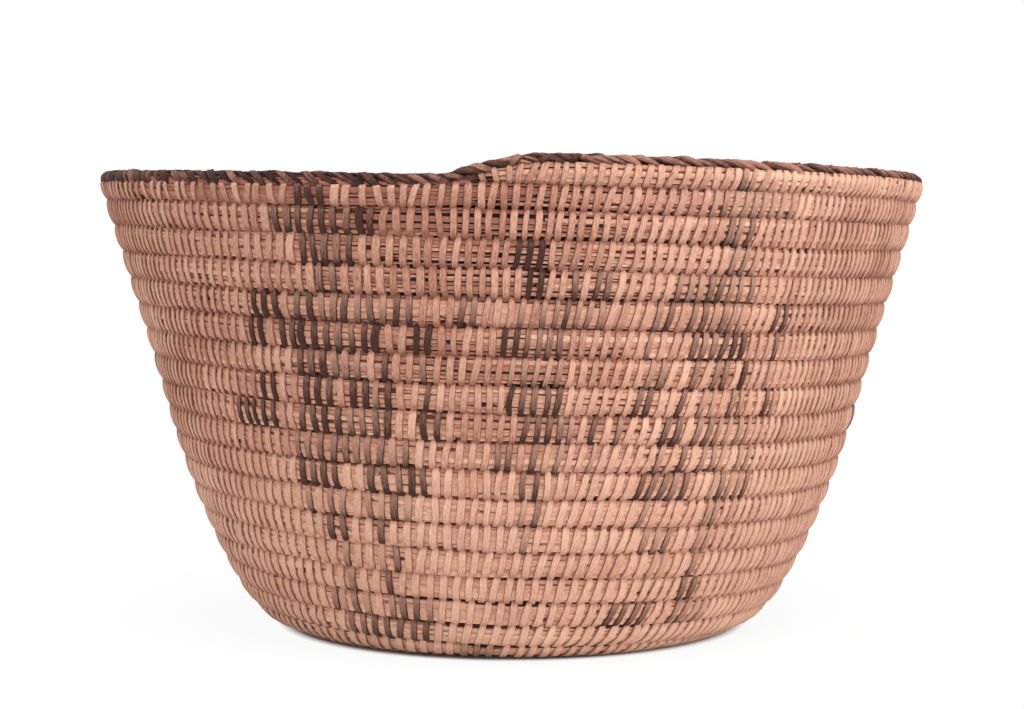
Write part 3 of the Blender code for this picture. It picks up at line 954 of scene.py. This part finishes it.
def braid_arch(reach, turns, swell=0.0):
    """The plaited edge's outline: out and rise at an angle from its crown, which is level on the rim."""
    up = (EDGE_CROWN + EDGE_FULLER_BY * fuller(turns) + swell) * np.cos(reach)
    across = (EDGE_HALF_WIDTH - EDGE_SLIMMER_BY * slimmer(turns) + swell) * np.sin(reach)
    out = across * math.cos(RIM_LEAN) - up * math.sin(RIM_LEAN) + EDGE_OUT
    rise = across * math.sin(RIM_LEAN) + up * math.cos(RIM_LEAN) - EDGE_SEAT
    return out, rise - EDGE_LOWER_BY * fuller(turns)


def climb(turns):
    """How far the plaited edge has risen from the course below where it climbs to the coil's end."""
    return np.where(turns < 0.0, upper_edge(turns) - top_of_coil(turns + 1.0), 0.0)


def strand_batch(side, turns, run=STRAND_RUN, first_degrees=STRAND_FIRST_DEGREES, lift=0.0, drop=0.0):
    """Strands on one side of the plaited edge, each crossing it at a slant while it runs along it."""
    count = len(turns)
    x, y, z = STRAND_PATTERN.corners.T[:, None]
    share = x + 0.5
    arch = np.sin(math.pi * share)
    first = math.radians(first_degrees)
    last = np.radians(STRAND_LAST_DEGREES - 16.0 * slimmer(turns) + 6.0 * fuller(turns))[:, None]
    arc = STRAND_CURL_RADIUS * (last - first)
    run = run * varied(count, 0.16, 2.0)[:, None]
    lift = lift + STRAND_LIFT * np.clip(chance.standard_normal(count), -1.2, 2.0)[:, None]
    span = np.hypot(arc, run)
    across = y * STRAND_WIDTH * varied(count, 0.16)[:, None]
    reach = first + (last - first) * share + across * np.abs(run) / span / STRAND_CURL_RADIUS
    aside = (share - 0.5) * run - across * np.sign(run) * arc / span
    swell = z * STRAND_THICKNESS * varied(count, 0.12)[:, None] + (STRAND_BULGE + lift) * arch
    out, rise = braid_arch(side * reach, turns[:, None], swell)
    places = on_rim(turns[:, None], aside, out, rise - drop)
    fibre = own_fibre(count, across, share * span)
    facing = front_degrees(turns)
    paler = 0.32 * ramp(facing, 6.0, 18.0) * ramp(facing, 58.0, 33.0) - 0.16 * fuller(turns)
    shade = (0.60 + 0.21 * chance.standard_normal(count) + paler)[:, None]
    # Painted light and shade: the strands' crowns paler, their sides and ends darker.
    return Batch(STRAND_PATTERN, places, fibre, shade - 0.35 * (1.0 - arch) + 0.6 * z - 0.9 * np.abs(y))


def plait_batches():
    """Both sides of the plaited edge, and the strands that cross it or close its seam at the coil's end."""
    even = np.arange(BRAID_STRANDS) / BRAID_STRANDS
    outside, inside = 0.16 / BRAID_STRANDS * chance.standard_normal((2, BRAID_STRANDS))
    crossings = (np.radians(CROSSINGS) - COIL_END_ANGLE) / FULL_TURN
    return [strand_batch(1.0, even + outside),
            strand_batch(-1.0, even + 0.5 / BRAID_STRANDS + inside),
            strand_batch(1.0, crossings, CROSSING_RUN, CROSSING_FIRST_DEGREES, lift=CROSSING_LIFT),
            strand_batch(1.0, np.array(SEAM_STRANDS) / 360.0, first_degrees=SEAM_FIRST_DEGREES,
                         lift=SEAM_LIFT, drop=SEAM_DROP)]


def braid_core():
    """The inside of the plaited edge, dark with painted shade between its strands."""
    turns = np.linspace(0.0, 1.0, EDGE_CORE_STEPS + 1)[:-1, None]
    reach = np.radians(EDGE_CORE_DEGREES)[None] * (1.0 - 0.20 * slimmer(turns))
    out, rise = braid_arch(reach, turns)
    climbing = climb(np.where(turns > 1.0 - CLIMB_TURNS, turns - 1.0, turns))
    rise = rise - climbing * ramp(np.abs(reach), 1.2, 1.7) - EDGE_CORE_DROP
    return Sweep(on_rim(turns, 0.0, EDGE_CORE_SHARE * out, rise), closed=True).batch(-0.1)


STITCHES = stitch_places()
DYES = np.array([dye_of(turns) for turns in STITCHES])
BARS = grass_bars(1.0) + grass_bars(-1.0)

light_splint = splint_finish("light_splint", deep=(148, 96, 78), middle=(205, 156, 134),
                             pale=(234, 193, 166), streak_depth=0.85)
dark_splint = splint_finish("dark_splint", deep=(72, 46, 38), middle=(142, 104, 88),
                            pale=(194, 148, 126), streak_depth=0.95)
grass = splint_finish("grass_coil", deep=(164, 108, 90), middle=(212, 158, 134),
                      pale=(240, 200, 172), streak_depth=1.2, fineness=GRASS_STREAK_FINENESS)
# A dark finish put inside the bundle, the plaited edge and the knot and in the creases: painted shade.
painted_shade_finish = splint_finish("grass_shadow", deep=(40, 23, 19), middle=(86, 51, 42),
                     pale=(132, 86, 72), streak_depth=0.8, roughness=0.8)
edge_splint = splint_finish("edge_splint", deep=(40, 24, 19), middle=(86, 54, 45),
                            pale=(160, 115, 98), streak_depth=0.8, roughness=0.6)


def dress_turns(name, first, last, steps):
    """Dresses the coil between two places with its grass, light stitches and dark stitches."""
    inside = (STITCHES >= first) & (STITCHES < last)
    bars = [bar for bar in BARS if first <= bar[0] < last]
    batches = [core_batch(first, last, steps)] + ([grass_batch(bars)] if bars else [])
    sewn_piece(f"{name}_grass", batches, [grass, painted_shade_finish], [name], smooth_angle=40.0)
    light = inside & (DYES == 0.0)
    sewn_piece(f"{name}_light_stitches", [stitch_batch(STITCHES[light], DYES[light])], [light_splint],
               [name])
    dark = inside & (DYES > 0.0)
    if dark.any():
        sewn_piece(f"{name}_dark_stitches", [stitch_batch(STITCHES[dark], DYES[dark])], [dark_splint],
                   [name])


def dress_coil():
    """Dresses the whole coil, from the thinned end at the rim to the knot."""
    dress_turns("coil_end", 0.0, TIP_TURNS, TIP_CORE_STEPS)
    for number in range(1, WALL_TURNS + 1):
        top = WALL_TURNS - number
        dress_turns(f"course_{number:02d}", max(top, TIP_TURNS), top + 1.0, COURSE_CORE_STEPS)
    dress_turns("base_coil", float(WALL_TURNS), STITCHES[-1] + COIL_START_LAP_TURNS, BASE_CORE_STEPS)


def dress_edge():
    """Plaits the edge."""
    sewn_piece("rim_braid_strands", [*plait_batches(), braid_core()],
               [edge_splint, painted_shade_finish], ["rim_braid"])


def dress_knot():
    """Wraps the start knot with splints that pass through its middle."""
    x, y, z = WRAP_PATTERN.corners.T[:, None]
    angle = FULL_TURN * (np.arange(KNOT_WRAPS) + 0.1 * chance.standard_normal(KNOT_WRAPS)) / KNOT_WRAPS
    along = KNOT_WRAP_MIDDLE + z / HALF_COURSE * KNOT_WRAP_REACH
    fanned = x / KNOT_RADIUS * 1.3 * (0.35 + 0.65 * along / KNOT_RADIUS)
    places = PROFILE.place(angle[:, None] + fanned, along, -y)
    fibre = wrap_fibre(KNOT_WRAPS)
    shade = (0.55 + 0.15 * chance.standard_normal(KNOT_WRAPS))[:, None]
    out, reach = np.array(KNOT_RING).T[:, None]
    round_knot = np.linspace(0.0, FULL_TURN, KNOT_RING_STEPS + 1)[:-1, None]
    ring = Sweep(PROFILE.place(round_knot, reach, out), closed=True)
    sewn_piece("start_knot_wraps", [Batch(WRAP_PATTERN, places, fibre, shade), ring.batch(0.5)],
               [light_splint, painted_shade_finish], ["start_knot"])


def make_floor():
    """A plain white floor that keeps the bowl's shadow."""
    start_shape()
    bpy.ops.mesh.primitive_plane_add(size=FLOOR_SIZE, location=(0.0, 0.0, -FLOOR_DROP))
    bpy.ops.object.transform_apply(location=True)
    floor = bpy.context.object
    floor.name = "floor"
    finish = Finish(bpy.data.materials.new("white_floor"))
    paper = finish.node("ShaderNodeBsdfDiffuse", {}, {"Color": (0.92, 0.92, 0.92, 1.0)})
    white = finish.node("ShaderNodeEmission", {}, {"Color": (1.0, 1.0, 1.0, 1.0), "Strength": 1.0})
    away = finish.node("ShaderNodeVectorMath", {"operation": "LENGTH"}, {0: finish.where()}, "Value")
    share = finish.seen_directly() * ((1.0 - SHADOW_SHARE) * finish.spread(away, *CONTACT_RADIUS)
                                      + SHADOW_SHARE * finish.spread(away, CONTACT_RADIUS[1], SHADOW_RADIUS))
    finish.end(finish.node("ShaderNodeMixShader", {}, {0: share, 1: paper, 2: white}))
    floor.data.materials.append(finish.owner)


def make_world():
    """White behind the bowl, and a plain soft light from all round."""
    light = Finish(bpy.data.worlds.new("studio"))
    strength = (1.0 - AMBIENT) * light.seen_directly() + AMBIENT
    white = light.node("ShaderNodeBackground", {}, {"Color": (1.0, 1.0, 1.0, 1.0), "Strength": strength})
    light.end(white, "ShaderNodeOutputWorld")
    bpy.context.scene.world = light.owner


def add_lamp(name, place, size, power):
    """A soft box that looks at the bowl."""
    bpy.ops.object.light_add(type="AREA", location=place)
    lamp = bpy.context.object
    lamp.name = name
    lamp.data.size = size
    lamp.data.energy = power
    aim = Vector(LAMP_TARGET) - Vector(place)
    lamp.rotation_euler = aim.to_track_quat("-Z", "Y").to_euler()


def add_camera():
    """Looks at the front from the height of the rim, a little down, as the photograph does."""
    tilt = math.radians(90.0 - CAMERA_DIP_DEGREES)
    bpy.ops.object.camera_add(location=CAMERA_PLACE, rotation=(tilt, 0.0, 0.0))
    camera = bpy.context.object
    camera.data.sensor_width = SENSOR_MILLIMETRES
    camera.data.lens = LENS_PIXELS / PHOTO_WIDTH_PIXELS * SENSOR_MILLIMETRES
    bpy.context.scene.camera = camera


dress_coil()
dress_edge()
dress_knot()
make_floor()
make_world()
for lamp in LAMPS:
    add_lamp(*lamp)
add_camera()
bpy.context.scene.view_settings.view_transform = "Standard"
